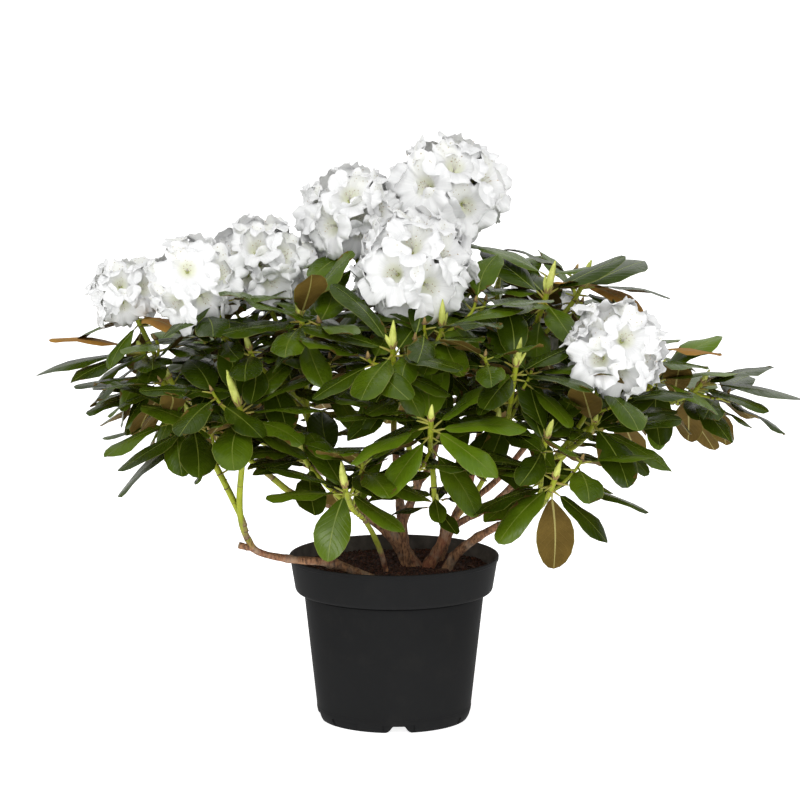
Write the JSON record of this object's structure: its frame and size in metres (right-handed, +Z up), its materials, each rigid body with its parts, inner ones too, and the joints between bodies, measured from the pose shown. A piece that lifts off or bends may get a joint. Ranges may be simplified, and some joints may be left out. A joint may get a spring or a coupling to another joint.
{
  "type": "potted rhododendron",
  "caption": "Bushy evergreen rhododendron with whorled leathery leaves and domed white flower trusses, on branching stems in a round black nursery pot.",
  "frame": {"origin": "centre of the pot's flat underside, on the surface it stands on", "axes": "+Z up; +X to the viewer's right as the plant is seen from its front, along its greatest width; -Y towards the viewer"},
  "size_m": [0.8059, 0.5775, 0.6297],
  "materials": {
    "pot": "matte black",
    "soil": "rough, moist peat compost",
    "bark": "rough reddish-brown bark",
    "leaf": "semi-gloss leathery leaf",
    "petal": "matte petal"
  },
  "bodies": {
    "root": {"bough_back": "bark", "bough_back_far_left": "bark", "bough_back_far_right": "bark", "bough_back_left": "bark", "bough_back_right": "bark", "bough_centre": "bark", "bough_crown": "bark", "bough_far_right": "bark", "bough_front": "bark", "bough_front_left": "bark", "bough_front_right": "bark", "bough_left": "bark", "bough_left_inner": "bark", "bough_left_low": "bark", "bough_mid": "bark", "bough_right": "bark", "bough_right_far": "bark", "bough_right_high": "bark", "bough_right_mid": "bark", "foliage_back": "leaf", "foliage_back_far_left": "leaf", "foliage_back_far_right": "leaf", "foliage_back_left": "leaf", "foliage_back_right": "leaf", "foliage_centre": "leaf", "foliage_crown": "leaf", "foliage_front": "leaf", "foliage_front_left": "leaf", "foliage_front_right": "leaf", "foliage_left_far": "leaf", "foliage_left_inner": "leaf", "foliage_left_low": "leaf", "foliage_right": "leaf", "foliage_right_far": "leaf", "foliage_right_front": "leaf", "foliage_right_high": "leaf", "pot": "pot", "soil": "soil", "trunk": "bark", "truss_back": "petal", "truss_back_left": "petal", "truss_back_right": "petal", "truss_centre_left": "petal", "truss_far_left": "petal", "truss_front": "petal", "truss_left": "petal", "truss_left_inner": "petal", "truss_right": "petal", "truss_top": "petal"}
  },
  "joints": []
}
